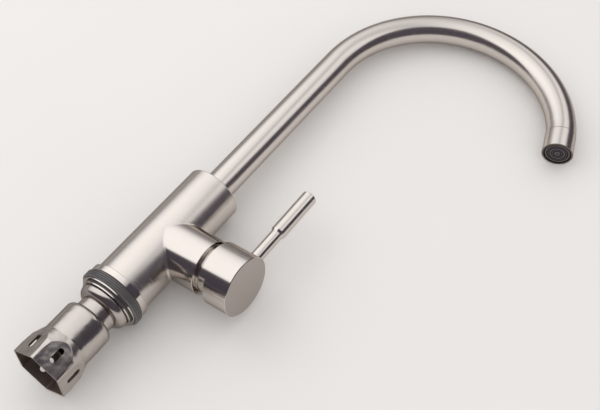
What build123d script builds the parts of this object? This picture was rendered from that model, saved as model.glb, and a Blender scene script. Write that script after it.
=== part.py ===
from build123d import *
from math import cos, radians, sin, tan
import os

# Kitchen faucet with a tall swivelling spout and a lever on its side.
# Millimetres, +Z up. The origin is on the column's axis, at the deck of the sink.
# The handle's axis points to +X, and the user stands at -Y.

# Column, branch and foot
BODY_DIAMETER = 47.0
BODY_TOP_HEIGHT = 124.0
BODY_EDGE_RADIUS = 0.8
HANDLE_HEIGHT = 64.0
BRANCH_DIAMETER = 45.0
BRANCH_END = 46.2
BRANCH_FILLET = 1.6
BRANCH_EDGE_RADIUS = 0.5
GASKET_HEIGHT = 7.2
GASKET_DIAMETER = 53.2
GASKET_EDGE = 0.8
GASKET_NECK_DIAMETER = 49.2
GASKET_NECK_HEIGHT = 0.9
GASKET_GROOVES = 3
GASKET_GROOVE_WIDTH = 0.6
GASKET_GROOVE_DEPTH = 0.9
RING_HEIGHT = 5.3
RING_DIAMETER = 51.2
RING_EDGE = 0.3

# Water ways
INLET_SPACING = 12.0
INLET_THREAD_DIAMETER = 9.0
INLET_THREAD_DEPTH = 12.0
CHANNEL_DIAMETER = 6.4
INLET_PORT_DROP = 6.0
OUTLET_PORT_RISE = 7.0

# Threaded shank and fixing nut under the deck
SHANK_DIAMETER = 27.0
SHANK_BORE = 23.0
SHANK_SEAT_DEPTH = 8.0
SHANK_LENGTH_BELOW = 50.0
SLIP_WASHER_DIAMETER = 49.4
SLIP_WASHER_THICKNESS = 1.3
CLAMP_GASKET_DIAMETER = 43.6
CLAMP_GASKET_THICKNESS = 1.65
CLAMP_RING_DIAMETER = 45.0
CLAMP_RING_THICKNESS = 1.0
NUT_DOME_DIAMETER = 42.4
NUT_DOME_HEIGHT = 7.5
NUT_DOME_EDGE = 1.2
NUT_NECK_DIAMETER = 30.4
NUT_NECK_LENGTH = 8.0
NUT_SHOULDER_HEIGHT = 4.5
NUT_TUBE_DIAMETER = 40.0
NUT_TUBE_LENGTH = 22.0
NUT_FLARE_LENGTH = 10.0
NUT_FLARE_DIAMETER = 47.0
NUT_HEX_LENGTH = 17.5
NUT_LIP_DIAMETER = 49.4
NUT_ACROSS_FLATS = 42.6
NUT_WALL = 1.5
NUT_CORNER_RADIUS = 3.0
NUT_FLAT_EDGE = 1.5
NUT_SLOT_WIDTH = 4.6
NUT_SLOT_LENGTH = 12.5
NUT_SLOT_RISE = 12.8
NUT_SIDES = 6
NUT_TURN = -55.0

# Spout
SPOUT_DIAMETER = 25.0
SPOUT_WALL = 1.3
SPOUT_ANGLE = 7.2
SPOUT_BEND_HEIGHT = 301.0
SPOUT_BEND_RADIUS = 103.5
SPOUT_BEND_ANGLE = 152.0
SPOUT_END_RADIUS = 55.0
SPOUT_END_ANGLE = 9.0
SPOUT_INSERTION = 18.0
FOOT_DIAMETER = 20.0
FOOT_BORE = 13.0
FOOT_LENGTH = 17.0
FOOT_PLUG_LENGTH = 12.0
FOOT_FLANGE_HEIGHT = 1.2
THRUST_RING_HEIGHT = 1.2
BUSH_WALL = 2.0
BUSH_HEIGHT = 11.5
BUSH_RECESS = 0.5
O_RING_THICKNESS = 1.4
O_RING_SPACING = 6.5
RETAINING_GROOVE_DEPTH = 1.5
RETAINING_GROOVE_WIDTH = 3.0
RETAINING_SCREW_DIAMETER = 5.0
RETAINING_SCREW_LENGTH = 8.0
RETAINING_TIP_DIAMETER = 2.7

# Outlet and aerator
COLLAR_DIAMETER = 25.6
COLLAR_LENGTH = 19.2
NIPPLE_FLANGE = 0.8
NIPPLE_FLANGE_DIAMETER = 24.0
NIPPLE_DIAMETER = 23.4
NIPPLE_BORE = 18.0
NIPPLE_LENGTH = 10.0
AERATOR_DIAMETER = 23.4
AERATOR_LIP = 1.0
AERATOR_LIP_OVERLAP = 0.2
AERATOR_WASHER_THICKNESS = 1.6
AERATOR_SCREEN_THICKNESS = 0.6
AERATOR_RING_COUNT = 5
AERATOR_RING_HEIGHT = 0.6

# Handle
CAP_DIAMETER = 48.8
CAP_REAR = 52.0
CAP_FRONT = 79.0
CAP_WALL = 2.4
CAP_CAVITY_DEPTH = 14.0
CAP_RELIEF_DEPTH = 6.1
CAP_RELIEF_DROP = 18.2
CAP_EDGE = 0.5
BOSS_DIAMETER = 17.0
BOSS_LENGTH = 4.0
STEM_SOCKET_DEPTH = 12.0
LEVER_POSITION = 69.0
LEVER_STEM_DIAMETER = 10.0
LEVER_GRIP_DIAMETER = 12.4
LEVER_STEP = 52.0
LEVER_END = 96.4
LEVER_SHOULDER = 2.0
LEVER_EDGE = 0.8
LEVER_THREAD_DIAMETER = 6.0
LEVER_THREAD_LENGTH = 10.0
LEVER_SEAT_DEPTH = 1.9
SET_SCREW_DIAMETER = 5.0
SET_SCREW_LENGTH = 8.0
HEX_KEY = 2.5
HEX_KEY_DEPTH = 3.0

# Cartridge, from its pivot inwards
PIVOT_POSITION = 54.0
LIFT_ANGLE = 17.0
CARTRIDGE_DIAMETER = 35.0
CARTRIDGE_NECK_DIAMETER = 31.0
CARTRIDGE_NECK_END = 56.0
ROTOR_DIAMETER = 23.2
ROTOR_FLANGE_DIAMETER = 26.8
ROTOR_FLANGE_THICKNESS = 1.6
ROTOR_END = 57.0
STEM_WIDTH = 8.0
STEM_THICKNESS = 6.0
STEM_SHOULDER_GAP = 2.5
STEM_END_GAP = 0.2
STEM_TIP_ARM = 10.8
STEM_TIP_DIAMETER = 3.8
STEM_NECK_DIAMETER = 3.0
PIN_DIAMETER = 3.0
PIN_LENGTH = 22.0
BASE_THICKNESS = 6.0
DISC_THICKNESS = 3.0
FIXED_DISC_DIAMETER = 26.8
MOVING_DISC_DIAMETER = 20.0
MIXING_HOLLOW_DIAMETER = 10.0
MIXING_HOLLOW_DEPTH = 1.5
MIXING_HOLLOW_OFFSET = 2.3
CARRIER_THICKNESS = 3.9
CARRIER_FLOOR = 0.2
PORT_DIAMETER = 6.0
PORT_SEAL_WIDTH = 1.6
PORT_SEAL_THICKNESS = 1.2
RETAINING_NUT_DIAMETER = 36.0
RETAINING_NUT_HEIGHT = 6.0
RETAINING_NUT_SLOTS = 4
RETAINING_NUT_SLOT_WIDTH = 4.0
RETAINING_NUT_SLOT_DEPTH = 2.0
COVER_DIAMETER = 38.0
COVER_END = 58.5
COVER_EDGE = 0.6
COVER_FLANGE_WIDTH = 2.2
COVER_GROOVE_WIDTH = 0.8
COVER_GROOVE_DEPTH = 0.7
COVER_CLEARANCE = 0.4

# Clearances between pieces
RUNNING_CLEARANCE = 0.06
LOOSE_CLEARANCE = 0.2
SEAT_CLEARANCE = 0.05
TILT_CLEARANCE = 0.4
CUT_MARGIN = 1.0

BOTTOM_UP = (Align.CENTER, Align.CENTER, Align.MIN)
QUARTER_ARC_MIDDLE = sin(radians(45))

# Places that follow from the sizes above
BODY_BOTTOM = GASKET_HEIGHT + RING_HEIGHT
SHANK_TOP = BODY_BOTTOM + SHANK_SEAT_DEPTH
SHANK_HOLE_RADIUS = SHANK_DIAMETER / 2 + LOOSE_CLEARANCE
SPOUT_RADIUS = SPOUT_DIAMETER / 2
SPOUT_BORE_RADIUS = SPOUT_RADIUS - SPOUT_WALL
SPOUT_BOTTOM = BODY_TOP_HEIGHT - SPOUT_INSERTION
FOOT_FLANGE_BOTTOM = SPOUT_BOTTOM - FOOT_FLANGE_HEIGHT
LEDGE_HEIGHT = FOOT_FLANGE_BOTTOM - SEAT_CLEARANCE - THRUST_RING_HEIGHT
FOOT_BOTTOM = LEDGE_HEIGHT - FOOT_LENGTH
RETAINING_HEIGHT = LEDGE_HEIGHT - RETAINING_GROOVE_WIDTH
BUSH_TOP = BODY_TOP_HEIGHT - BUSH_RECESS
BUSH_BOTTOM = BUSH_TOP - BUSH_HEIGHT
BUSH_OUTER_RADIUS = SPOUT_RADIUS + RUNNING_CLEARANCE + BUSH_WALL
SPOUT_WELL_RADIUS = SPOUT_RADIUS + LOOSE_CLEARANCE
FOOT_BORE_RADIUS = FOOT_DIAMETER / 2 + RUNNING_CLEARANCE

CAP_BORE_RADIUS = CAP_DIAMETER / 2 - CAP_WALL
CAP_CAVITY_END = CAP_REAR + CAP_CAVITY_DEPTH
BOSS_START = CAP_CAVITY_END - BOSS_LENGTH
STEM_END = BOSS_START + STEM_SOCKET_DEPTH - STEM_END_GAP
STEM_TIP = PIVOT_POSITION - STEM_TIP_ARM
DISC_TRAVEL = STEM_TIP_ARM * sin(radians(LIFT_ANGLE))
DISC_REST_OFFSET = -DISC_TRAVEL / 2
CARRIER_BOTTOM = STEM_TIP - STEM_TIP_DIAMETER / 2 - CARRIER_FLOOR
CARRIER_TOP = CARRIER_BOTTOM + CARRIER_THICKNESS
MOVING_DISC_BOTTOM = CARRIER_BOTTOM - DISC_THICKNESS
FIXED_DISC_TOP = MOVING_DISC_BOTTOM - SEAT_CLEARANCE
FIXED_DISC_BOTTOM = FIXED_DISC_TOP - DISC_THICKNESS
BASE_BOTTOM = FIXED_DISC_BOTTOM - BASE_THICKNESS
ROTOR_BOTTOM = CARRIER_TOP + LOOSE_CLEARANCE
NECK_LEDGE = ROTOR_BOTTOM + ROTOR_FLANGE_THICKNESS + SEAT_CLEARANCE
RETAINING_NUT_BOTTOM = BRANCH_END - RETAINING_NUT_HEIGHT

WASHER_TOP = -SEAT_CLEARANCE
CLAMP_GASKET_TOP = WASHER_TOP - SLIP_WASHER_THICKNESS
CLAMP_RING_TOP = CLAMP_GASKET_TOP - CLAMP_GASKET_THICKNESS
NUT_TOP = CLAMP_RING_TOP - CLAMP_RING_THICKNESS - SEAT_CLEARANCE
NUT_NECK_TOP = NUT_TOP - NUT_DOME_HEIGHT
NUT_NECK_BOTTOM = NUT_NECK_TOP - NUT_NECK_LENGTH
NUT_TUBE_TOP = NUT_NECK_BOTTOM - NUT_SHOULDER_HEIGHT
NUT_FLARE_TOP = NUT_TUBE_TOP - NUT_TUBE_LENGTH
NUT_HEX_TOP = NUT_FLARE_TOP - NUT_FLARE_LENGTH
NUT_LIP = NUT_HEX_TOP - NUT_HEX_LENGTH

# Working planes: along the handle's axis (local x is +Y, local y is +Z), and the plane of the spout's bend
HANDLE = Plane(origin=(0, 0, HANDLE_HEIGHT), x_dir=(0, 1, 0), z_dir=(1, 0, 0))
SPOUT_OUT = Vector(cos(radians(SPOUT_ANGLE)), sin(radians(SPOUT_ANGLE)), 0)
SPOUT_SIDE = Vector(sin(radians(SPOUT_ANGLE)), -cos(radians(SPOUT_ANGLE)), 0)


def rod(diameter, low, high):
    """Round bar on the local Z axis between two heights."""
    return Pos(0, 0, low) * Cylinder(diameter / 2, high - low, align=BOTTOM_UP)


def ring(outer, inner, low, high):
    """Round ring on the local Z axis, from its two diameters and two heights."""
    bore = rod(inner, low - CUT_MARGIN, high + CUT_MARGIN)
    return rod(outer, low, high) - bore


def turned(curve):
    """Solid of revolution about Z from a closed profile of (radius, height) points."""
    return revolve(make_face(Plane.XZ * curve), Axis.Z)


def hex_recess(key, low, high):
    """Hexagon prism on the local Z axis for a key across its flats."""
    return Pos(0, 0, low) * extrude(RegularPolygon(key / 2, NUT_SIDES, major_radius=False), high - low)


def inlet_points():
    """Sideways places of the two inlets."""
    return [-INLET_SPACING / 2, INLET_SPACING / 2]


def port_points():
    """Places of the three ports across the handle's axis: two inlets below, the outlet above."""
    inlets = [(side, -INLET_PORT_DROP) for side in inlet_points()]
    return inlets + [(0, OUTLET_PORT_RISE)]


def drilled(piece, diameter, low, high):
    """The piece with the three water ports drilled along the handle's axis."""
    for across, up in port_points():
        piece -= Pos(across, up) * rod(diameter, low - CUT_MARGIN, high + CUT_MARGIN)
    return piece


def save(shape, node):
    """Write one piece as its own file."""
    export_step(shape, f"parts/{node}.step")


# Column with its branch, sockets and water ways
def valve_body():
    column = rod(BODY_DIAMETER, BODY_BOTTOM, BODY_TOP_HEIGHT)
    branch = HANDLE * rod(BRANCH_DIAMETER, 0, BRANCH_END)
    body = column + branch
    seam = new_edges(column, branch, combined=body)
    body = fillet(seam, BRANCH_FILLET)
    top_edge = body.edges().filter_by(GeomType.CIRCLE).group_by(Axis.Z)[-1]
    body = fillet(top_edge, BODY_EDGE_RADIUS)
    branch_edge = body.edges().filter_by(GeomType.CIRCLE).group_by(Axis.X)[-1]
    body = fillet(branch_edge, BRANCH_EDGE_RADIUS)
    body -= spout_socket()
    body -= HANDLE * cartridge_chamber()
    body -= water_ways()
    return body


def spout_socket():
    bush_seat = rod(2 * BUSH_OUTER_RADIUS, BUSH_BOTTOM, BODY_TOP_HEIGHT + CUT_MARGIN)
    well = rod(2 * SPOUT_WELL_RADIUS, LEDGE_HEIGHT, BODY_TOP_HEIGHT)
    foot_bore = rod(2 * FOOT_BORE_RADIUS, FOOT_BOTTOM - CUT_MARGIN, BODY_TOP_HEIGHT)
    screw_hole = retaining_screw_place() * rod(
        RETAINING_SCREW_DIAMETER + 2 * SEAT_CLEARANCE, 0, BODY_DIAMETER / 2 + CUT_MARGIN
    )
    return bush_seat + well + foot_bore + screw_hole


def cartridge_chamber():
    pocket = rod(CARTRIDGE_DIAMETER + 2 * SEAT_CLEARANCE, BASE_BOTTOM, BRANCH_END + CUT_MARGIN)
    thread = rod(RETAINING_NUT_DIAMETER + 2 * SEAT_CLEARANCE, RETAINING_NUT_BOTTOM, BRANCH_END + CUT_MARGIN)
    return pocket + thread


def water_ways():
    ways = rod(SHANK_DIAMETER + 2 * SEAT_CLEARANCE, BODY_BOTTOM - CUT_MARGIN, SHANK_TOP)
    port_height = HANDLE_HEIGHT - INLET_PORT_DROP
    for side in inlet_points():
        thread = rod(INLET_THREAD_DIAMETER, SHANK_TOP - CUT_MARGIN, SHANK_TOP + INLET_THREAD_DEPTH)
        riser = rod(CHANNEL_DIAMETER, SHANK_TOP, port_height)
        ways += Pos(0, side, 0) * (thread + riser)
        ways += HANDLE * (Pos(side, -INLET_PORT_DROP) * rod(CHANNEL_DIAMETER, 0, BASE_BOTTOM + CUT_MARGIN))
        ways += Pos(0, side, port_height) * Sphere(CHANNEL_DIAMETER / 2)
    outlet_height = HANDLE_HEIGHT + OUTLET_PORT_RISE
    ways += HANDLE * (Pos(0, OUTLET_PORT_RISE) * rod(CHANNEL_DIAMETER, 0, BASE_BOTTOM + CUT_MARGIN))
    ways += rod(CHANNEL_DIAMETER, outlet_height, FOOT_BOTTOM)
    ways += Pos(0, 0, outlet_height) * Sphere(CHANNEL_DIAMETER / 2)
    return ways


# Foot of the column
def base_ring():
    plain = ring(RING_DIAMETER, 2 * SHANK_HOLE_RADIUS, GASKET_HEIGHT, BODY_BOTTOM)
    rims = plain.edges().filter_by(GeomType.CIRCLE).group_by(SortBy.RADIUS)[-1]
    return chamfer(rims, RING_EDGE)


def base_gasket():
    """Grooved seal with a narrow neck under the ring."""
    bulge = GASKET_DIAMETER / 2
    neck = GASKET_NECK_DIAMETER / 2
    shoulder = GASKET_HEIGHT - GASKET_NECK_HEIGHT
    profile = Polyline(
        (SHANK_HOLE_RADIUS, 0),
        (bulge - GASKET_EDGE, 0),
        (bulge, GASKET_EDGE),
        (bulge, shoulder - GASKET_EDGE),
        (bulge - GASKET_EDGE, shoulder),
        (neck, shoulder),
        (neck, GASKET_HEIGHT),
        (SHANK_HOLE_RADIUS, GASKET_HEIGHT),
        close=True,
    )
    gasket = turned(profile)
    groove_floor = GASKET_DIAMETER - 2 * GASKET_GROOVE_DEPTH
    for step in range(1, GASKET_GROOVES + 1):
        low = shoulder * step / (GASKET_GROOVES + 1) - GASKET_GROOVE_WIDTH / 2
        gasket -= ring(GASKET_DIAMETER + CUT_MARGIN, groove_floor, low, low + GASKET_GROOVE_WIDTH)
    return gasket


def mounting_shank():
    return ring(SHANK_DIAMETER, SHANK_BORE, -SHANK_LENGTH_BELOW, SHANK_TOP)


# Clamping stack under the deck
def slip_washer():
    return ring(SLIP_WASHER_DIAMETER, 2 * SHANK_HOLE_RADIUS, CLAMP_GASKET_TOP, WASHER_TOP)


def clamp_gasket():
    return ring(CLAMP_GASKET_DIAMETER, 2 * SHANK_HOLE_RADIUS, CLAMP_RING_TOP, CLAMP_GASKET_TOP)


def clamp_ring():
    return ring(CLAMP_RING_DIAMETER, 2 * SHANK_HOLE_RADIUS, NUT_TOP + SEAT_CLEARANCE, CLAMP_RING_TOP)


def nut_dome_and_tube(inset):
    """Round upper part of the nut, drawn in by a wall inset, as a closed solid."""
    neck = NUT_NECK_DIAMETER / 2 - inset
    tube = NUT_TUBE_DIAMETER / 2 - inset
    flare = NUT_FLARE_DIAMETER / 2 - inset
    lip = NUT_LIP_DIAMETER / 2 - inset
    shoulder_top = NUT_NECK_BOTTOM - inset
    bend = NUT_SHOULDER_HEIGHT * (1 - QUARTER_ARC_MIDDLE)
    curve = Polyline((0, NUT_NECK_TOP), (neck, NUT_NECK_TOP), (neck, shoulder_top))
    curve += Line((neck, shoulder_top), (tube - NUT_SHOULDER_HEIGHT, shoulder_top))
    curve += ThreePointArc(
        (tube - NUT_SHOULDER_HEIGHT, shoulder_top),
        (tube - bend, shoulder_top - bend),
        (tube, shoulder_top - NUT_SHOULDER_HEIGHT),
    )
    curve += Polyline(
        (tube, shoulder_top - NUT_SHOULDER_HEIGHT),
        (tube, NUT_FLARE_TOP),
        (flare, NUT_HEX_TOP),
        (lip, NUT_LIP),
        (0, NUT_LIP),
        (0, NUT_NECK_TOP),
    )
    return turned(curve)


def nut_form(inset):
    """Tube of the nut with its six pressed flats, drawn in by a wall inset."""
    flats = RegularPolygon(NUT_ACROSS_FLATS / 2 - inset, NUT_SIDES, major_radius=False)
    flats = fillet(flats.vertices(), NUT_CORNER_RADIUS - inset)
    flats = Rot(0, 0, NUT_TURN + 180 / NUT_SIDES) * flats
    prism = Pos(0, 0, NUT_LIP) * extrude(flats, NUT_NECK_TOP - NUT_LIP)
    return nut_dome_and_tube(inset) & prism


def rounded_flats(form):
    """The form with the arched edges of its flats rounded."""
    edges = []
    for flat in form.faces().filter_by(GeomType.PLANE).filter_by(Axis.Z, reverse=True):
        edges += [edge for edge in flat.edges() if edge.center().Z > NUT_LIP + CUT_MARGIN]
    return fillet(edges, NUT_FLAT_EDGE)


def nut_dome():
    """Domed flange on top of the nut, round underneath down to its neck."""
    rim = NUT_DOME_DIAMETER / 2
    neck = NUT_NECK_DIAMETER / 2
    round_height = NUT_DOME_HEIGHT - NUT_DOME_EDGE
    round_top = NUT_TOP - NUT_DOME_EDGE
    middle_radius = neck + (rim - neck) * QUARTER_ARC_MIDDLE
    middle_height = NUT_NECK_TOP + round_height * (1 - QUARTER_ARC_MIDDLE)
    bend = NUT_DOME_EDGE * (1 - QUARTER_ARC_MIDDLE)
    curve = Polyline((0, NUT_NECK_TOP), (0, NUT_TOP), (rim - NUT_DOME_EDGE, NUT_TOP))
    curve += ThreePointArc((rim - NUT_DOME_EDGE, NUT_TOP), (rim - bend, NUT_TOP - bend), (rim, round_top))
    curve += ThreePointArc((rim, round_top), (middle_radius, middle_height), (neck, NUT_NECK_TOP))
    curve += Line((neck, NUT_NECK_TOP), (0, NUT_NECK_TOP))
    return turned(curve)


def fixing_nut():
    """Long socket nut: domed flange, threaded neck, tube and a flared hexagonal mouth with slots."""
    outside = rounded_flats(nut_form(0))
    hollow = nut_form(NUT_WALL) - rod(NUT_TUBE_DIAMETER, NUT_NECK_BOTTOM - NUT_WALL, NUT_NECK_TOP)
    nut = outside - hollow + nut_dome()
    nut -= rod(SHANK_DIAMETER + 2 * RUNNING_CLEARANCE, NUT_TUBE_TOP, NUT_TOP + CUT_MARGIN)
    return nut - nut_slots()


def nut_slots():
    """One oblong slot through the middle of each flat."""
    oblong = SlotOverall(NUT_SLOT_LENGTH, NUT_SLOT_WIDTH, rotation=90)
    height = NUT_LIP + NUT_SLOT_RISE
    slots = []
    for side in range(NUT_SIDES):
        turn = Rot(0, 0, NUT_TURN + side * 360 / NUT_SIDES)
        face = Plane(origin=(NUT_TUBE_DIAMETER / 4, 0, height), x_dir=(0, 1, 0), z_dir=(1, 0, 0))
        slots.append(turn * extrude(face * oblong, NUT_LIP_DIAMETER / 2))
    return slots


# Spout and its bearing in the column
def spout_point(reach, height):
    """Place in the plane of the spout's bend."""
    return SPOUT_OUT * reach + Vector(0, 0, height)


def spout_direction(turn):
    """Direction of the spout after a turn in degrees away from straight up."""
    return spout_point(sin(radians(turn)), cos(radians(turn)))


def bend_centre(start, turn, radius):
    """Centre of a bend that starts at a place and a turn."""
    return start + spout_point(cos(radians(turn)), -sin(radians(turn))) * radius


def bend_end(centre, turn, radius):
    """Place on a bend where the spout has reached a turn."""
    return centre - spout_point(cos(radians(turn)), -sin(radians(turn))) * radius


MAIN_CENTRE = bend_centre(spout_point(0, SPOUT_BEND_HEIGHT), 0, SPOUT_BEND_RADIUS)
MAIN_END = bend_end(MAIN_CENTRE, SPOUT_BEND_ANGLE, SPOUT_BEND_RADIUS)
OUTLET_TURN = SPOUT_BEND_ANGLE + SPOUT_END_ANGLE
TIP_CENTRE = bend_centre(MAIN_END, SPOUT_BEND_ANGLE, SPOUT_END_RADIUS)
TUBE_END = bend_end(TIP_CENTRE, OUTLET_TURN, SPOUT_END_RADIUS)
OUTLET = Plane(origin=TUBE_END, x_dir=SPOUT_SIDE, z_dir=spout_direction(OUTLET_TURN))


def tube_section(origin, turn):
    """Cross section of the spout's tube."""
    face = Circle(SPOUT_RADIUS) - Circle(SPOUT_BORE_RADIUS)
    return Plane(origin=origin, x_dir=SPOUT_SIDE, z_dir=spout_direction(turn)) * face


def spout_tube():
    """One tube: a straight riser, the wide bend and a tighter turn at the tip."""
    riser = ring(SPOUT_DIAMETER, 2 * SPOUT_BORE_RADIUS, SPOUT_BOTTOM, SPOUT_BEND_HEIGHT)
    main_start = tube_section(spout_point(0, SPOUT_BEND_HEIGHT), 0)
    main = revolve(main_start, Axis(MAIN_CENTRE, -SPOUT_SIDE), SPOUT_BEND_ANGLE)
    tip_start = tube_section(MAIN_END, SPOUT_BEND_ANGLE)
    tip = revolve(tip_start, Axis(TIP_CENTRE, -SPOUT_SIDE), SPOUT_END_ANGLE)
    return riser + main + tip


def o_ring_heights():
    """Heights of the two seals on the spout's foot."""
    first = FOOT_BOTTOM + O_RING_SPACING / 2
    return [first, first + O_RING_SPACING]


def spout_foot():
    """Turned foot that plugs the tube and seals in the column."""
    foot = rod(FOOT_DIAMETER, FOOT_BOTTOM + CUT_MARGIN, FOOT_FLANGE_BOTTOM)
    foot += rod(SPOUT_DIAMETER, FOOT_FLANGE_BOTTOM, SPOUT_BOTTOM)
    foot += rod(2 * SPOUT_BORE_RADIUS, SPOUT_BOTTOM, SPOUT_BOTTOM + FOOT_PLUG_LENGTH)
    foot -= rod(FOOT_BORE, FOOT_BOTTOM, SPOUT_BOTTOM + FOOT_PLUG_LENGTH + CUT_MARGIN)
    groove_floor = FOOT_DIAMETER - 2 * O_RING_THICKNESS
    for height in o_ring_heights():
        half = O_RING_THICKNESS / 2 + LOOSE_CLEARANCE
        foot -= ring(FOOT_DIAMETER + CUT_MARGIN, groove_floor, height - half, height + half)
    low = RETAINING_HEIGHT - RETAINING_GROOVE_WIDTH / 2
    neck = FOOT_DIAMETER - 2 * RETAINING_GROOVE_DEPTH
    foot -= ring(FOOT_DIAMETER + CUT_MARGIN, neck, low, low + RETAINING_GROOVE_WIDTH)
    return foot


def spout_o_rings():
    centre_radius = FOOT_DIAMETER / 2 - O_RING_THICKNESS / 2
    seals = [Pos(0, 0, height) * Torus(centre_radius, O_RING_THICKNESS / 2) for height in o_ring_heights()]
    return Compound(children=seals)


def thrust_ring():
    return ring(
        2 * SPOUT_WELL_RADIUS - 2 * SEAT_CLEARANCE,
        FOOT_DIAMETER + 2 * LOOSE_CLEARANCE,
        LEDGE_HEIGHT,
        LEDGE_HEIGHT + THRUST_RING_HEIGHT,
    )


def spout_bush():
    return ring(2 * BUSH_OUTER_RADIUS, SPOUT_DIAMETER + 2 * RUNNING_CLEARANCE, BUSH_BOTTOM, BUSH_TOP)


def retaining_screw_place():
    """Frame at the column's axis with local Z pointing out of the back."""
    return Plane(origin=(0, 0, RETAINING_HEIGHT), x_dir=(1, 0, 0), z_dir=(0, 1, 0))


def spout_retaining_screw():
    tip_end = FOOT_DIAMETER / 2 - RETAINING_GROOVE_DEPTH + LOOSE_CLEARANCE
    head_start = FOOT_DIAMETER / 2 + LOOSE_CLEARANCE
    head_end = head_start + RETAINING_SCREW_LENGTH
    screw = rod(RETAINING_TIP_DIAMETER, tip_end, head_start)
    screw += rod(RETAINING_SCREW_DIAMETER, head_start, head_end)
    screw -= hex_recess(HEX_KEY, head_end - HEX_KEY_DEPTH, head_end + CUT_MARGIN)
    return retaining_screw_place() * screw


# Outlet, along the spout's last direction
NIPPLE_END = NIPPLE_FLANGE + NIPPLE_LENGTH
COLLAR_END = NIPPLE_FLANGE + COLLAR_LENGTH
AERATOR_TOP = NIPPLE_END + AERATOR_WASHER_THICKNESS + AERATOR_SCREEN_THICKNESS
AERATOR_FACE = COLLAR_END - AERATOR_LIP


def outlet_nipple():
    nipple = rod(NIPPLE_FLANGE_DIAMETER, 0, NIPPLE_FLANGE)
    nipple += rod(NIPPLE_DIAMETER, NIPPLE_FLANGE, NIPPLE_END)
    nipple -= rod(NIPPLE_BORE, -CUT_MARGIN, NIPPLE_END + CUT_MARGIN)
    return OUTLET * nipple


def aerator_shell():
    shell = rod(COLLAR_DIAMETER, NIPPLE_FLANGE, COLLAR_END)
    shell -= rod(NIPPLE_DIAMETER + 2 * SEAT_CLEARANCE, NIPPLE_FLANGE - CUT_MARGIN, NIPPLE_END)
    shell -= rod(AERATOR_DIAMETER + 2 * SEAT_CLEARANCE, NIPPLE_END - CUT_MARGIN, AERATOR_FACE)
    mouth = AERATOR_DIAMETER - 2 * AERATOR_LIP_OVERLAP
    shell -= rod(mouth, AERATOR_FACE - CUT_MARGIN, COLLAR_END + CUT_MARGIN)
    return OUTLET * shell


def aerator_washer():
    washer = ring(AERATOR_DIAMETER, NIPPLE_BORE, NIPPLE_END, NIPPLE_END + AERATOR_WASHER_THICKNESS)
    return OUTLET * washer


def aerator_screen():
    return OUTLET * rod(AERATOR_DIAMETER, NIPPLE_END + AERATOR_WASHER_THICKNESS, AERATOR_TOP)


def aerator_insert():
    """Plastic insert whose outlet face carries concentric rings round a hub."""
    insert = rod(AERATOR_DIAMETER, AERATOR_TOP, AERATOR_FACE)
    pitch = (AERATOR_DIAMETER / 2 - AERATOR_LIP_OVERLAP) / (AERATOR_RING_COUNT + 1)
    ring_top = AERATOR_FACE + AERATOR_RING_HEIGHT
    insert += rod(pitch, AERATOR_FACE, ring_top)
    for step in range(1, AERATOR_RING_COUNT + 1):
        middle = 2 * pitch * step
        insert += ring(middle + pitch / 2, middle - pitch / 2, AERATOR_FACE, ring_top)
    return OUTLET * insert


# Cartridge in the branch, along the handle's axis
def cartridge_base():
    plate = rod(CARTRIDGE_DIAMETER, BASE_BOTTOM, FIXED_DISC_BOTTOM)
    base = drilled(plate, PORT_DIAMETER, BASE_BOTTOM, FIXED_DISC_BOTTOM)
    seat = PORT_DIAMETER + 2 * PORT_SEAL_WIDTH + 2 * SEAT_CLEARANCE
    for across, up in port_points():
        base -= Pos(across, up) * rod(seat, BASE_BOTTOM - CUT_MARGIN, BASE_BOTTOM + PORT_SEAL_THICKNESS)
    return HANDLE * base


def cartridge_port_seals():
    outer = PORT_DIAMETER + 2 * PORT_SEAL_WIDTH
    seal = ring(outer, CHANNEL_DIAMETER, BASE_BOTTOM, BASE_BOTTOM + PORT_SEAL_THICKNESS)
    return Compound(children=[HANDLE * (Pos(across, up) * seal) for across, up in port_points()])


def fixed_ceramic_disc():
    disc = rod(FIXED_DISC_DIAMETER, FIXED_DISC_BOTTOM, FIXED_DISC_TOP)
    return HANDLE * drilled(disc, PORT_DIAMETER, FIXED_DISC_BOTTOM, FIXED_DISC_TOP)


def moving_ceramic_disc():
    """Upper disc with the mixing hollow in its underside."""
    disc = Pos(0, DISC_REST_OFFSET) * rod(MOVING_DISC_DIAMETER, MOVING_DISC_BOTTOM, CARRIER_BOTTOM)
    hollow_top = MOVING_DISC_BOTTOM + MIXING_HOLLOW_DEPTH
    hollow = rod(MIXING_HOLLOW_DIAMETER, MOVING_DISC_BOTTOM - CUT_MARGIN, hollow_top)
    return HANDLE * (disc - Pos(0, MIXING_HOLLOW_OFFSET) * hollow)


def disc_carrier():
    carrier = Pos(0, DISC_REST_OFFSET) * rod(MOVING_DISC_DIAMETER, CARRIER_BOTTOM, CARRIER_TOP)
    pocket_diameter = STEM_TIP_DIAMETER + 2 * LOOSE_CLEARANCE
    pocket = rod(pocket_diameter, CARRIER_BOTTOM + CARRIER_FLOOR / 2, CARRIER_TOP + CUT_MARGIN)
    return HANDLE * (carrier - pocket)


def cartridge_housing():
    shell = rod(CARTRIDGE_DIAMETER, FIXED_DISC_BOTTOM, RETAINING_NUT_BOTTOM)
    shell += rod(CARTRIDGE_NECK_DIAMETER, RETAINING_NUT_BOTTOM, CARTRIDGE_NECK_END)
    shell -= rod(ROTOR_FLANGE_DIAMETER + 2 * LOOSE_CLEARANCE, FIXED_DISC_BOTTOM - CUT_MARGIN, NECK_LEDGE)
    shell -= rod(ROTOR_DIAMETER + 2 * RUNNING_CLEARANCE, FIXED_DISC_BOTTOM, CARTRIDGE_NECK_END + CUT_MARGIN)
    return HANDLE * shell


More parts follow.
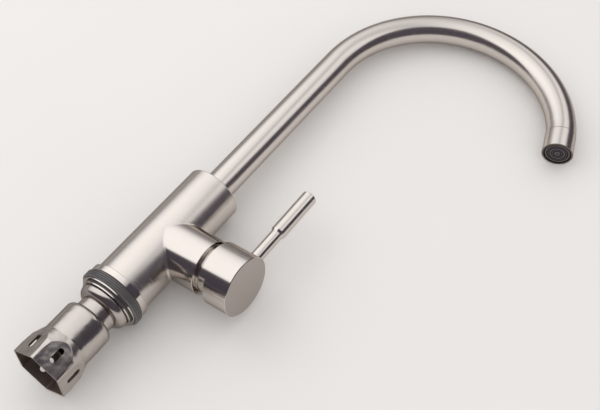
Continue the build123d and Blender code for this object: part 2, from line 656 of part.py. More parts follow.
def mixer_rotor():
    """Turning hub that carries the stem's pin, slotted for the stem's tilt."""
    rotor = rod(ROTOR_FLANGE_DIAMETER, ROTOR_BOTTOM, ROTOR_BOTTOM + ROTOR_FLANGE_THICKNESS)
    rotor += rod(ROTOR_DIAMETER, ROTOR_BOTTOM, ROTOR_END)
    tilt = radians(LIFT_ANGLE)
    half = STEM_WIDTH / 2 / cos(tilt) + TILT_CLEARANCE
    above = half + (PIVOT_POSITION - ROTOR_BOTTOM) * tan(tilt)
    below = half + (ROTOR_END - PIVOT_POSITION) * tan(tilt)
    depth = ROTOR_END - ROTOR_BOTTOM + 2 * CUT_MARGIN
    slot = Box(STEM_THICKNESS + 2 * LOOSE_CLEARANCE, above + below, depth)
    rotor -= Pos(0, (above - below) / 2, (ROTOR_BOTTOM + ROTOR_END) / 2) * slot
    rotor -= pin_place() * rod(PIN_DIAMETER + 2 * SEAT_CLEARANCE, -ROTOR_DIAMETER, ROTOR_DIAMETER)
    return HANDLE * rotor


def pin_place():
    """Frame at the stem's pivot with local Z across the handle's axis."""
    return Plane(origin=(0, 0, PIVOT_POSITION), x_dir=(0, 1, 0), z_dir=(1, 0, 0))


def pivot_pin():
    pin = rod(PIN_DIAMETER, -PIN_LENGTH / 2, PIN_LENGTH / 2)
    return HANDLE * (pin_place() * pin)


def cartridge_stem():
    """Control stem: square end for the handle, flat tongue on the pin and a ball in the carrier."""
    square_start = ROTOR_END + STEM_SHOULDER_GAP
    tongue_start = STEM_TIP + STEM_TIP_DIAMETER
    square = Box(STEM_WIDTH, STEM_WIDTH, STEM_END - square_start, align=BOTTOM_UP)
    tongue = Box(STEM_THICKNESS, STEM_WIDTH, square_start - tongue_start, align=BOTTOM_UP)
    stem = Pos(0, 0, square_start) * square + Pos(0, 0, tongue_start) * tongue
    stem += rod(STEM_NECK_DIAMETER, STEM_TIP, tongue_start)
    stem += Pos(0, 0, STEM_TIP) * Sphere(STEM_TIP_DIAMETER / 2)
    stem -= pin_place() * rod(PIN_DIAMETER + 2 * RUNNING_CLEARANCE, -STEM_WIDTH, STEM_WIDTH)
    return HANDLE * stem


def cartridge_retaining_nut():
    inner = CARTRIDGE_NECK_DIAMETER + 2 * LOOSE_CLEARANCE
    nut = ring(RETAINING_NUT_DIAMETER, inner, RETAINING_NUT_BOTTOM, BRANCH_END)
    outward = (Align.MIN, Align.CENTER, Align.MAX)
    slot = Box(RETAINING_NUT_DIAMETER, RETAINING_NUT_SLOT_WIDTH, RETAINING_NUT_SLOT_DEPTH, align=outward)
    for side in range(RETAINING_NUT_SLOTS):
        nut -= Rot(0, 0, side * 360 / RETAINING_NUT_SLOTS) * Pos(0, 0, BRANCH_END) * slot
    return HANDLE * nut


def cartridge_cover():
    """Polished collar round the cartridge's neck, seen in the gap behind the cap."""
    cover = ring(COVER_DIAMETER, CARTRIDGE_NECK_DIAMETER + 2 * COVER_CLEARANCE, BRANCH_END, COVER_END)
    rims = cover.edges().filter_by(GeomType.CIRCLE).group_by(SortBy.RADIUS)[-1]
    cover = fillet(rims, COVER_EDGE)
    low = BRANCH_END + COVER_FLANGE_WIDTH
    groove_floor = COVER_DIAMETER - 2 * COVER_GROOVE_DEPTH
    cover -= ring(COVER_DIAMETER + CUT_MARGIN, groove_floor, low, low + COVER_GROOVE_WIDTH)
    return HANDLE * cover


# Handle
def set_screw_place():
    """Frame at the handle's axis with local Z pointing out of the back."""
    return Plane(origin=(0, 0, LEVER_POSITION), x_dir=(0, 0, 1), z_dir=(1, 0, 0))


def lever_place():
    """Frame at the handle's axis with local Z along the lever."""
    return Plane(origin=(0, 0, LEVER_POSITION), x_dir=(1, 0, 0), z_dir=(0, 1, 0))


def handle_cap():
    """Cap with a flat front, a socket for the stem and a rear rim cut back for the tilt."""
    cap = rod(CAP_DIAMETER, CAP_REAR, CAP_FRONT)
    front_edge = cap.edges().filter_by(GeomType.CIRCLE).group_by(Axis.Z)[-1]
    cap = chamfer(front_edge, CAP_EDGE)
    cap -= ring(2 * CAP_BORE_RADIUS, BOSS_DIAMETER, BOSS_START, CAP_CAVITY_END)
    cap -= rod(2 * CAP_BORE_RADIUS, CAP_REAR - CUT_MARGIN, BOSS_START)
    socket_width = STEM_WIDTH + 2 * SEAT_CLEARANCE
    socket = Box(socket_width, socket_width, STEM_SOCKET_DEPTH, align=BOTTOM_UP)
    cap -= Pos(0, 0, BOSS_START) * socket
    below = (Align.CENTER, Align.MAX, Align.MIN)
    relief = Box(2 * CAP_DIAMETER, CAP_DIAMETER, CAP_RELIEF_DEPTH + CUT_MARGIN, align=below)
    cap -= Pos(0, -CAP_RELIEF_DROP, CAP_REAR - CUT_MARGIN) * relief
    cap -= set_screw_place() * rod(SET_SCREW_DIAMETER + 2 * SEAT_CLEARANCE, 0, CAP_DIAMETER)
    lever_seat = CAP_DIAMETER / 2 - LEVER_SEAT_DEPTH
    cap -= lever_place() * rod(LEVER_THREAD_DIAMETER, lever_seat - LEVER_THREAD_LENGTH, CAP_DIAMETER)
    cap -= lever_place() * rod(LEVER_STEM_DIAMETER + 2 * SEAT_CLEARANCE, lever_seat, CAP_DIAMETER)
    return HANDLE * cap


def handle_set_screw():
    start = STEM_WIDTH / 2 + SEAT_CLEARANCE
    end = start + SET_SCREW_LENGTH
    screw = rod(SET_SCREW_DIAMETER, start, end) - hex_recess(HEX_KEY, end - HEX_KEY_DEPTH, end + CUT_MARGIN)
    return HANDLE * (set_screw_place() * screw)


def lever_pin():
    """Turned lever: threaded end, slim stem and thicker grip with a sloped shoulder."""
    seat = CAP_DIAMETER / 2 - LEVER_SEAT_DEPTH
    thread = LEVER_THREAD_DIAMETER / 2 - SEAT_CLEARANCE
    stem = LEVER_STEM_DIAMETER / 2
    grip = LEVER_GRIP_DIAMETER / 2
    profile = Polyline(
        (0, seat - LEVER_THREAD_LENGTH + LOOSE_CLEARANCE),
        (thread, seat - LEVER_THREAD_LENGTH + LOOSE_CLEARANCE),
        (thread, seat),
        (stem, seat),
        (stem, LEVER_STEP),
        (grip, LEVER_STEP + LEVER_SHOULDER),
        (grip, LEVER_END - LEVER_EDGE),
        (grip - LEVER_EDGE, LEVER_END),
        (0, LEVER_END),
        close=True,
    )
    return HANDLE * (lever_place() * turned(profile))


os.makedirs("parts", exist_ok=True)

for piece in (
    valve_body,
    base_ring,
    base_gasket,
    mounting_shank,
    slip_washer,
    clamp_gasket,
    clamp_ring,
    fixing_nut,
    spout_tube,
    spout_foot,
    spout_o_rings,
    thrust_ring,
    spout_bush,
    spout_retaining_screw,
    outlet_nipple,
    aerator_shell,
    aerator_washer,
    aerator_screen,
    aerator_insert,
    cartridge_base,
    cartridge_port_seals,
    fixed_ceramic_disc,
    moving_ceramic_disc,
    disc_carrier,
    cartridge_housing,
    mixer_rotor,
    pivot_pin,
    cartridge_stem,
    cartridge_retaining_nut,
    cartridge_cover,
    handle_cap,
    handle_set_screw,
    lever_pin,
):
    save(piece(), piece.__name__)
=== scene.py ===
# %% [markdown]
# # A kitchen faucet on a pale table
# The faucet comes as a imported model: every piece is in its place, in metres, with +Z up along the
# column. This script gives the pieces their finishes, cuts the thread of the shank, and sets the table,
# the light and the camera. The pieces could be modelled again here, but their sizes are settled, so they
# are only dressed.

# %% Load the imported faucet
import math

import bmesh
import bpy
from mathutils import Matrix, Vector


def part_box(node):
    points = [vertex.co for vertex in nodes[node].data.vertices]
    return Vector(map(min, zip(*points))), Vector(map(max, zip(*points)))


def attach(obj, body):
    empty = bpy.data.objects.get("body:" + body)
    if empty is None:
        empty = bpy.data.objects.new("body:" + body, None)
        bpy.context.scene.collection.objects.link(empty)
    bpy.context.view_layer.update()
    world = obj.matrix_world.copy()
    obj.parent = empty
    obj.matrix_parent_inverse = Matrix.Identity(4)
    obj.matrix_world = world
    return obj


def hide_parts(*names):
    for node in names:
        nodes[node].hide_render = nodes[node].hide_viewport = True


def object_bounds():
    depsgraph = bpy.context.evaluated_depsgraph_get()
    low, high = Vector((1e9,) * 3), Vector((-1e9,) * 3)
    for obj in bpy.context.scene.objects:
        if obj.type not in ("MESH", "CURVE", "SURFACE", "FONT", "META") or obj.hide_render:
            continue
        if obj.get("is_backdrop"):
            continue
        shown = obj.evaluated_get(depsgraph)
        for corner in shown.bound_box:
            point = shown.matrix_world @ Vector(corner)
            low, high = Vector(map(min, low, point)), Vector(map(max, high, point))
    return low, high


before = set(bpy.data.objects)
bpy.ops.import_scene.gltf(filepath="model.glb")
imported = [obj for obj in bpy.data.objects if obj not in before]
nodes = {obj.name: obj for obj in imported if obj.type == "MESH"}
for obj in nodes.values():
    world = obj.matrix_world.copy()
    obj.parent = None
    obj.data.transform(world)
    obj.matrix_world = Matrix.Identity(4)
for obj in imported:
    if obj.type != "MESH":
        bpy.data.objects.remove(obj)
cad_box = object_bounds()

scene = bpy.context.scene
print("pieces loaded:", len(nodes))

# %% [markdown]
# ## Arithmetic on shader sockets
# A finish is a small graph of nodes. Wiring it by hand hides the idea behind it, so one class wraps an
# output socket, and sums and products of such signals add the Math nodes. Any other node comes from one
# method, which sets the node's settings first and then its sockets.


# %% Signals
class Signal:
    """One output socket of a shader graph that takes part in arithmetic."""

    def __init__(self, graph, socket):
        self.graph = graph
        self.socket = socket

    def math(self, operation, *others):
        return self.graph.node("ShaderNodeMath", {"operation": operation}, dict(enumerate((self, *others))))

    def __add__(self, other):
        return self.math("ADD", other)

    __radd__ = __add__

    def __mul__(self, other):
        return self.math("MULTIPLY", other)

    __rmul__ = __mul__

    def __sub__(self, other):
        return self.math("SUBTRACT", other)

    def __rsub__(self, other):
        return (self * -1.0) + other


print("signals ready")

# %% [markdown]
# ## Graphs of nodes
# Materials and the world are both node trees, so one class serves both. Each finish could place its
# nodes one by one, but most need the same few things: a position, a soft noise, a ramp, a blend and a
# relief. Each of these is one short method, and a finish then reads like a recipe.


# %% Graphs
class Graph:
    """Node tree of a material or of the world."""

    def __init__(self, tree):
        self.tree = tree
        tree.nodes.clear()

    def node(self, kind, settings=None, inputs=None, output=0):
        """Add a node, set its settings, then its sockets, and return one output as a signal."""
        made = self.tree.nodes.new(kind)
        for name, value in (settings or {}).items():
            setattr(made, name, value)
        for name, value in (inputs or {}).items():
            if isinstance(value, Signal):
                self.tree.links.new(value.socket, made.inputs[name])
            else:
                made.inputs[name].default_value = value
        return Signal(self, made.outputs[output]) if made.outputs else None

    def position(self):
        """Position on the piece as one vector, in metres."""
        return self.node("ShaderNodeTexCoord", output="Object")

    def place(self):
        """Position on the piece as three signals, in metres."""
        split = self.node("ShaderNodeSeparateXYZ", inputs={0: self.position()}).socket.node
        return [Signal(self, socket) for socket in split.outputs]

    def vector(self, x, y, z):
        return self.node("ShaderNodeCombineXYZ", inputs={0: x, 1: y, 2: z})

    def dot(self, first, second):
        """Dot product of two vectors; with a direction, the length along it."""
        settings = {"operation": "DOT_PRODUCT"}
        return self.node("ShaderNodeVectorMath", settings, {0: first, 1: second}, "Value")

    def noise(self, vector, scale, detail, roughness=0.5):
        """Soft random value between 0 and 1."""
        values = {"Vector": vector, "Scale": scale, "Detail": detail, "Roughness": roughness}
        return self.node("ShaderNodeTexNoise", inputs=values)

    def ramp(self, signal, low, high, interpolation="SMOOTHSTEP"):
        """0 below one value, 1 above the other."""
        values = {"Value": signal, "From Min": low, "From Max": high}
        return self.node("ShaderNodeMapRange", {"interpolation_type": interpolation}, values)

    def blend(self, factor, first, second):
        """Colour that goes from the first to the second with the factor."""
        return self.node("ShaderNodeMix", {"data_type": "RGBA"}, {0: factor, 6: first, 7: second}, output=2)

    def bump(self, height, distance):
        """Normal of a surface with this relief."""
        return self.node("ShaderNodeBump", inputs={"Height": height, "Distance": distance, "Strength": 1.0})

    def surface(self, **values):
        """Principled shader with the given sockets, joined to the output."""
        named = {name.replace("_", " "): value for name, value in values.items()}
        shader = self.node("ShaderNodeBsdfPrincipled", inputs=named)
        self.node("ShaderNodeOutputMaterial", inputs={"Surface": shader})


def new_finish(name):
    """Empty material and its graph."""
    material = bpy.data.materials.new(name)
    material.use_nodes = True
    return material, Graph(material.node_tree)


def dress(material, *names):
    """Give CAD pieces one finish."""
    for name in names:
        mesh = nodes[name].data
        mesh.materials.clear()
        mesh.materials.append(material)


print("graphs ready")

# %% [markdown]
# ## Brushed steel
# The column, the spout and the handle are stainless steel, finished with an abrasive belt that runs
# round them. That leaves fine lines, so reflections stay crisp across a tube and smear along it. An
# anisotropic shader could do this, but it needs a tangent on every piece. Here the lines themselves are
# made: noise that changes quickly along the piece and slowly round it drives a faint bump and the
# roughness.

# %% Brushed steel along a given direction
STEEL_COLOUR = (0.70, 0.65, 0.61, 1.0)
STEEL_SHADE = (0.62, 0.575, 0.537, 1.0)
STEEL_RIM = (0.55, 0.515, 0.49, 1.0)
LINE_PITCH = 0.00025
LINE_LENGTH = 0.025
LINE_DEPTH = 0.0000006
LINE_SHARE = 0.6
LINE_CHANGE = 0.06
CLOUD_CHANGE = 0.05
CLOUDS_PER_METRE = 40.0


def stretched(graph, directions, pitch, length):
    """Coordinates of a noise that changes once a pitch along a piece and once a length across it."""
    along, across, other = directions(graph)
    return graph.vector(along * (1 / pitch), across * (1 / length), other * (1 / length))


def brushed(name, directions, roughness, change=None, mask=None, masked_colour=None):
    """Brushed steel. The directions give the signal along the piece and two signals across it.

    The change is added to the roughness, and the mask shows where the steel has another colour.
    """
    material, graph = new_finish(name)
    if change:
        roughness = change(graph) + roughness
    lines = graph.noise(stretched(graph, directions, LINE_PITCH, LINE_LENGTH), 1.0, 3.0, 0.6)
    cloud = graph.noise(graph.position(), CLOUDS_PER_METRE, 2.0)
    colour = graph.blend(lines * LINE_SHARE + cloud * (1 - LINE_SHARE), STEEL_SHADE, STEEL_COLOUR)
    mean_change = (LINE_CHANGE + CLOUD_CHANGE) / 2
    if mask:
        colour = graph.blend(mask(graph), colour, masked_colour)
    graph.surface(
        Base_Color=colour,
        Metallic=1.0,
        Specular_Tint=STEEL_RIM,
        Roughness=lines * LINE_CHANGE + cloud * CLOUD_CHANGE + (roughness - mean_change),
        Normal=graph.bump(lines, LINE_DEPTH),
    )
    return material


print("steel line pitch in mm:", LINE_PITCH * 1000)

# %% [markdown]
# ## The column and its branch
# On the column the belt runs round the upright axis, on the branch round the handle's axis, and a finer
# belt gives the branch a sharper shine. They are one piece, so two materials would leave a hard seam.
# One material with a soft mask, the distance from the column's axis, lets one brushing run into the
# other.

# %% Column and branch
COLUMN_ROUGHNESS = 0.26
BRANCH_BLUR = 0.002
BRANCH_CHANGE = -0.12
column_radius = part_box("valve_body")[1].y


def branch_mask(graph):
    """1 on the branch, 0 on the column."""
    x, y, z = graph.place()
    reach = (x * x + y * y).math("SQRT")
    return graph.ramp(reach, column_radius, column_radius + BRANCH_BLUR)


def column_and_branch(graph):
    """Upright on the column, along the handle's axis on the branch."""
    x, y, z = graph.place()
    branch = branch_mask(graph)
    return z + branch * (x - z), y, x + branch * (z - x)


def finer_on_branch(graph):
    """Change of the roughness where the finer belt ran."""
    return branch_mask(graph) * BRANCH_CHANGE


column_steel = brushed("brushed_steel_column", column_and_branch, COLUMN_ROUGHNESS, finer_on_branch)
dress(column_steel, "valve_body")
print("brushed piece: column with branch")

# %% [markdown]
# ## The cap
# The cap's side shines like the branch, but its flat front is matt, so it looks much the same from all
# sides. A second material on the front's faces would do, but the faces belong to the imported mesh. The
# front is the end of the cap along the handle's axis, so one coordinate tells it from the side.

# %% Cap
CAP_ROUGHNESS = 0.14
FRONT_CHANGE = 0.22
STEEL_DULL = (0.50, 0.46, 0.435, 1.0)
EDGE_BLUR = 0.0003
cap_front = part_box("handle_cap")[1].x


def front_mask(graph):
    """1 on the flat front of the cap, 0 on its side."""
    x, y, z = graph.place()
    return graph.ramp(x, cap_front - EDGE_BLUR, cap_front - EDGE_BLUR / 3)


def matt_front(graph):
    """Change of the roughness on the cap's front."""
    return front_mask(graph) * FRONT_CHANGE


def sideways(graph):
    """Along the handle's axis, and straight across its flat front."""
    x, y, z = graph.place()
    front = front_mask(graph)
    return x + front * (y - x), y * (1 - front), z


cap_steel = brushed("brushed_steel_cap", sideways, CAP_ROUGHNESS, matt_front, front_mask, STEEL_DULL)
dress(cap_steel, "handle_cap")
print("brushed piece: cap")

# %% [markdown]
# ## The spout
# The spout's lines follow a bent tube, so it needs its own length as a coordinate: straight up the
# riser, then along the bend. Painting a map by hand would work, but the bend is an arc of known centre,
# so its angle gives the length directly.

# %% Spout
SPOUT_ANGLE = math.radians(7.2)
SPOUT_ROUGHNESS = 0.22
BEND_HEIGHT = 0.301
BEND_RADIUS = 0.1035


def along_spout(graph):
    """Length along the spout's middle line, from the deck up the riser and round the bend."""
    x, y, z = graph.place()
    reach = x * math.cos(SPOUT_ANGLE) + y * math.sin(SPOUT_ANGLE)
    side = x * math.sin(SPOUT_ANGLE) - y * math.cos(SPOUT_ANGLE)
    turn = (z - BEND_HEIGHT).math("ARCTAN2", BEND_RADIUS - reach)
    length = z.math("MINIMUM", BEND_HEIGHT) + turn.math("MAXIMUM", 0.0) * BEND_RADIUS
    return length, side, reach


dress(brushed("brushed_steel_spout", along_spout, SPOUT_ROUGHNESS), "spout_tube", "outlet_nipple")
print("brushed pieces: spout and nipple")

# %% [markdown]
# ## The outlet collar
# The rim of the outlet is coloured a dark brown. A ring of its own could carry this colour, but it is only
# a colour: the length along the outlet's axis shows where the collar ends, and the dark brown lies there.

# %% Outlet collar
OUTLET_TURN = math.radians(161)
# Dark brown colour on the rim of the outlet collar.
RIM_DARK_BROWN = (0.2, 0.165, 0.145, 1.0)
outlet_direction = Vector((
    math.sin(OUTLET_TURN) * math.cos(SPOUT_ANGLE),
    math.sin(OUTLET_TURN) * math.sin(SPOUT_ANGLE),
    math.cos(OUTLET_TURN),
))


def outlet_depth(graph):
    """Length along the outlet's axis."""
    return graph.dot(graph.position(), outlet_direction)


def outlet_end(name):
    """Largest length of a piece along the outlet's axis."""
    return max(outlet_direction.dot(vertex.co) for vertex in nodes[name].data.vertices)


def rim_mask(graph):
    """1 on the rim of the outlet collar, 0 above it."""
    end = outlet_end("aerator_shell")
    return graph.ramp(outlet_depth(graph), end - EDGE_BLUR, end - EDGE_BLUR / 3)


outlet_steel = brushed(
    "brushed_steel_outlet", along_spout, SPOUT_ROUGHNESS, mask=rim_mask, masked_colour=RIM_DARK_BROWN
)
dress(outlet_steel, "aerator_shell")
print("brushed piece: outlet collar")

# %% [markdown]
# ## Polished steel
# The ring at the foot, the washers, the collar behind the cap and the lever are polished. A polished
# piece is never a perfect mirror: handling leaves faint smears. A low roughness alone would look drawn
# with a ruler, so a soft cloud changes it a little, and a very shallow ripple bends the long
# reflections.

# %% Polished steel
POLISH_COLOUR = (0.72, 0.67, 0.63, 1.0)
POLISH_SMEAR = (0.64, 0.595, 0.555, 1.0)
POLISH_ROUGHNESS = 0.07
POLISH_RIPPLES_PER_METRE = 60.0
LEVER_ROUGHNESS = 0.15
LEVER_RIPPLES_PER_METRE = 40.0
SMEARS_PER_METRE = 90.0
SMEAR_RAMP = (0.35, 0.75)
SMEAR_CHANGE = 0.08
RIPPLE_DEPTH = 0.00003


def polished(name, roughness, ripples_per_metre):
    material, graph = new_finish(name)
    smear = graph.noise(graph.position(), SMEARS_PER_METRE, 4.0)
    ripple = graph.noise(graph.position(), ripples_per_metre, 1.0)
    graph.surface(
        Base_Color=graph.blend(smear, POLISH_SMEAR, POLISH_COLOUR),
        Metallic=1.0,
        Specular_Tint=STEEL_RIM,
        Roughness=graph.ramp(smear, *SMEAR_RAMP) * SMEAR_CHANGE + roughness,
        Normal=graph.bump(ripple, RIPPLE_DEPTH),
    )
    return material


polished_steel = polished("polished_steel", POLISH_ROUGHNESS, POLISH_RIPPLES_PER_METRE)
lever_steel = polished("polished_steel_lever", LEVER_ROUGHNESS, LEVER_RIPPLES_PER_METRE)
dress(polished_steel, "base_ring", "slip_washer", "clamp_ring", "cartridge_cover")
dress(lever_steel, "lever_pin")
print("polished pieces: ring, washers, collar and lever")

# %% [markdown]
# ## The pressed nut
# The fixing nut is pressed from tube. Outside it is buffed to a satin shine over shallow dents. Inside,
# the buffing wheel never reaches, and the wall keeps a brown bloom. A mask could be painted by hand, but
# the inside is simply every wall that faces the nut's own axis, so the direction of the surface tells
# it.

# %% Pressed nut
NUT_COLOUR = (0.56, 0.517, 0.485, 1.0)
NUT_SMEAR = (0.49, 0.45, 0.42, 1.0)
NUT_SMEARS_PER_METRE = 110.0
NUT_ROUGHNESS = 0.2
NUT_SMEAR_CHANGE = 0.1
INNER_CHANGE = 0.2
DENT_SIZE = 0.008
DENT_DEPTH = 0.00036
INNER_STEEL = (0.30, 0.245, 0.215, 1.0)


def inner_mask(graph):
    """1 on the walls that face the nut's axis, 0 on the walls that face away from it."""
    x, y, z = graph.place()
    facing = graph.node("ShaderNodeTexCoord", output="Normal")
    lean = graph.dot(facing, graph.vector(x, y, 0.0))
    return graph.ramp(lean * -1.0, 0.0, EDGE_BLUR)


def pressed_steel():
    material, graph = new_finish("pressed_steel_nut")
    inner = inner_mask(graph)
    smear = graph.noise(graph.position(), NUT_SMEARS_PER_METRE, 4.0)
    dents = graph.noise(graph.position(), 1 / DENT_SIZE, 1.0)
    outside = graph.blend(smear, NUT_SMEAR, NUT_COLOUR)
    graph.surface(
        Base_Color=graph.blend(inner, outside, INNER_STEEL),
        Metallic=1.0,
        Specular_Tint=STEEL_RIM,
        Roughness=smear * NUT_SMEAR_CHANGE + inner * INNER_CHANGE + (NUT_ROUGHNESS - NUT_SMEAR_CHANGE / 2),
        Normal=graph.bump(dents + smear * (RIPPLE_DEPTH / DENT_DEPTH), DENT_DEPTH),
    )
    return material


dress(pressed_steel(), "fixing_nut")
print("pressed piece: nut")

# %% [markdown]
# ## Rubber, plastic and ceramic
# The gasket under the foot and the small seals are black rubber, slightly greasy from the mould. Inside
# the column and the branch are white plastic and ceramic. An even colour would look like paint, so a
# cloud changes it a little, and a fine grain gives the surface of the mould.

# %% Moulded pieces
RUBBER_COLOURS = ((0.075, 0.07, 0.073, 1.0), (0.12, 0.112, 0.116, 1.0))
RUBBER_ROUGHNESS = 0.26
RUBBER_GRAIN = 0.0004
PLASTIC_COLOURS = ((0.74, 0.74, 0.72, 1.0), (0.82, 0.82, 0.80, 1.0))
PLASTIC_ROUGHNESS = 0.45
PLASTIC_GRAIN = 0.0005
CERAMIC_COLOURS = ((0.80, 0.79, 0.75, 1.0), (0.86, 0.85, 0.81, 1.0))
CERAMIC_ROUGHNESS = 0.16
CERAMIC_GRAIN = 0.0003
CERAMIC_GRAIN_DEPTH = 0.000002
MOULD_CLOUDS_PER_METRE = 120.0
GRAIN_CHANGE = 0.2
GRAIN_DEPTH = 0.00001


def moulded(name, colours, roughness, grain_size, grain_depth=GRAIN_DEPTH):
    """Moulded rubber, plastic or ceramic with a fine grain and a cloudy colour."""
    material, graph = new_finish(name)
    grain = graph.noise(graph.position(), 1 / grain_size, 2.0)
    cloud = graph.noise(graph.position(), MOULD_CLOUDS_PER_METRE, 3.0)
    graph.surface(
        Base_Color=graph.blend(cloud, *colours),
        Roughness=grain * GRAIN_CHANGE + (roughness - GRAIN_CHANGE / 2),
        Normal=graph.bump(grain, grain_depth),
    )
    return material


black_rubber = moulded("black_rubber", RUBBER_COLOURS, RUBBER_ROUGHNESS, RUBBER_GRAIN)
white_plastic = moulded("white_plastic", PLASTIC_COLOURS, PLASTIC_ROUGHNESS, PLASTIC_GRAIN)
ceramic = (CERAMIC_COLOURS, CERAMIC_ROUGHNESS, CERAMIC_GRAIN, CERAMIC_GRAIN_DEPTH)
disc_ceramic = moulded("disc_ceramic", *ceramic)
dress(black_rubber, "base_gasket", "clamp_gasket", "spout_o_rings")
dress(black_rubber, "aerator_washer", "cartridge_port_seals")
dress(white_plastic, "thrust_ring", "spout_bush", "cartridge_base", "disc_carrier")
dress(white_plastic, "cartridge_housing", "mixer_rotor")
dress(disc_ceramic, "fixed_ceramic_disc", "moving_ceramic_disc")
print("moulded finishes: rubber, white plastic, ceramic")

# %% [markdown]
# ## The insert in the outlet
# The insert is black plastic, with rings round a hub. Their tops carry a painted highlight, and the gaps
# between them a painted shade of deep black. The depth below the insert's face tells tops from gaps. The
# painted highlight is weaker on every second ring than on its neighbours. It could be coloured by hand, but
# a wave over the distance from the outlet's axis gives it, with two rings to each wave.

# %% Ringed insert
RING_RELIEF = 0.0006
RING_PITCH = 0.00192
# Strength of the painted highlight on the ring tops, weaker on every second ring.
RING_HIGHLIGHT_STRENGTH = (0.4, 0.9)
TOP_BLUR = (0.12, 0.04)
INSERT_ROUGHNESS = 0.45
INSERT_SHINE = 0.15
# Painted shade in the gaps between the rings, and painted highlight on their tops.
GAP_PAINTED_SHADE = (0.002, 0.0015, 0.002, 1.0)
TOP_PAINTED_HIGHLIGHT = (0.165, 0.142, 0.154, 1.0)
INSERT_GRAINS_PER_METRE = 1500.0


def axis_distance(graph, middle):
    """Distance from the outlet's axis, which passes through the given point."""
    aside = graph.node("ShaderNodeVectorMath", {"operation": "SUBTRACT"}, {0: graph.position(), 1: middle})
    depth = graph.dot(aside, outlet_direction)
    return (graph.dot(aside, aside) - depth * depth).math("MAXIMUM", 0.0).math("SQRT")


def ringed_plastic():
    face = outlet_end("aerator_insert")
    points = [vertex.co for vertex in nodes["aerator_insert"].data.vertices]
    middle = sum(points, Vector()) / len(points)
    material, graph = new_finish("black_plastic")
    # Painted highlight on the ring tops, painted shade in the gaps between them.
    painted_highlight = graph.ramp(outlet_depth(graph), *(face - RING_RELIEF * share for share in TOP_BLUR))
    wave = (axis_distance(graph, middle) * (math.pi / RING_PITCH)).math("COSINE")
    # Every second ring gets a weaker painted highlight.
    highlight_strength = graph.ramp(wave * -1.0, -1.0, 1.0, "LINEAR") * (RING_HIGHLIGHT_STRENGTH[1] - RING_HIGHLIGHT_STRENGTH[0]) + RING_HIGHLIGHT_STRENGTH[0]
    grain = graph.noise(graph.position(), INSERT_GRAINS_PER_METRE, 2.0)
    graph.surface(
        Base_Color=graph.blend(painted_highlight * highlight_strength, GAP_PAINTED_SHADE, TOP_PAINTED_HIGHLIGHT),
        Roughness=grain * GRAIN_CHANGE + (INSERT_ROUGHNESS - GRAIN_CHANGE / 2),
        Specular_IOR_Level=INSERT_SHINE,
        Normal=graph.bump(grain, GRAIN_DEPTH),
    )
    print("insert's face along the outlet (m):", round(face, 4))
    return material


dress(ringed_plastic(), "aerator_insert")

# %% [markdown]
# ## Turned brass and screw steel
# The inner fittings are turned from brass bar, and the small screws and pins are plain steel. A lathe
# leaves rings round the piece. They could be cut into the mesh, but they are too fine to see as shapes,
# so the stretched noise serves again, with a coarser pitch and the brass's colour.

# %% Brass and screw steel
BRASS_COLOURS = ((0.50, 0.34, 0.12, 1.0), (0.72, 0.54, 0.24, 1.0))
BRASS_ROUGHNESS = 0.26
SCREW_COLOURS = ((0.36, 0.36, 0.37, 1.0), (0.52, 0.52, 0.53, 1.0))
SCREW_ROUGHNESS = 0.32
TURNING_PITCH = 0.0005
TURNING_LENGTH = 0.05
TURNING_DEPTH = 0.000006
TURNING_CHANGE = 0.1
TARNISH_PER_METRE = 150.0
TARNISH_CHANGE = 0.1


def upright(graph):
    """Along the column, and two signals across it."""
    x, y, z = graph.place()
    return z, x, y


def turned_metal(name, directions, colours, roughness):
    material, graph = new_finish(name)
    rings = graph.noise(stretched(graph, directions, TURNING_PITCH, TURNING_LENGTH), 1.0, 2.0)
    tarnish = graph.noise(graph.position(), TARNISH_PER_METRE, 4.0)
    mean_change = (TURNING_CHANGE + TARNISH_CHANGE) / 2
    graph.surface(
        Base_Color=graph.blend(tarnish, *colours),
        Metallic=1.0,
        Roughness=rings * TURNING_CHANGE + tarnish * TARNISH_CHANGE + (roughness - mean_change),
        Normal=graph.bump(rings, TURNING_DEPTH),
    )
    return material


brass_upright = turned_metal("turned_brass", upright, BRASS_COLOURS, BRASS_ROUGHNESS)
brass_sideways = turned_metal("turned_brass_cartridge", sideways, BRASS_COLOURS, BRASS_ROUGHNESS)
screw_steel = turned_metal("screw_steel", upright, SCREW_COLOURS, SCREW_ROUGHNESS)
dress(brass_upright, "mounting_shank", "spout_foot")
dress(brass_sideways, "cartridge_stem", "cartridge_retaining_nut")
dress(screw_steel, "spout_retaining_screw", "aerator_screen", "pivot_pin", "handle_set_screw")
print("turned finishes: brass and screw steel")

# %% [markdown]
# ## The thread on the shank
# The nut runs on a thread cut into the shank. The CAD shank is a plain tube, which is right for its
# collisions. A bump map could suggest a thread, but its outline would stay smooth. Spinning one tooth
# round the axis, with a rise of one pitch each turn, makes the true helix. Two planes cut it flat, and
# each end is bridged to the bore.

# %% Thread as a mesh
SHANK_BORE_RADIUS = 0.0115
THREAD_PITCH = 0.0015
THREAD_DEPTH = 0.0008
THREAD_STEPS = 48
THREAD_CREST = (0.4, 0.6)
SMALL = 1e-6
shank_low, shank_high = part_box("mounting_shank")
shank_radius = shank_high.x


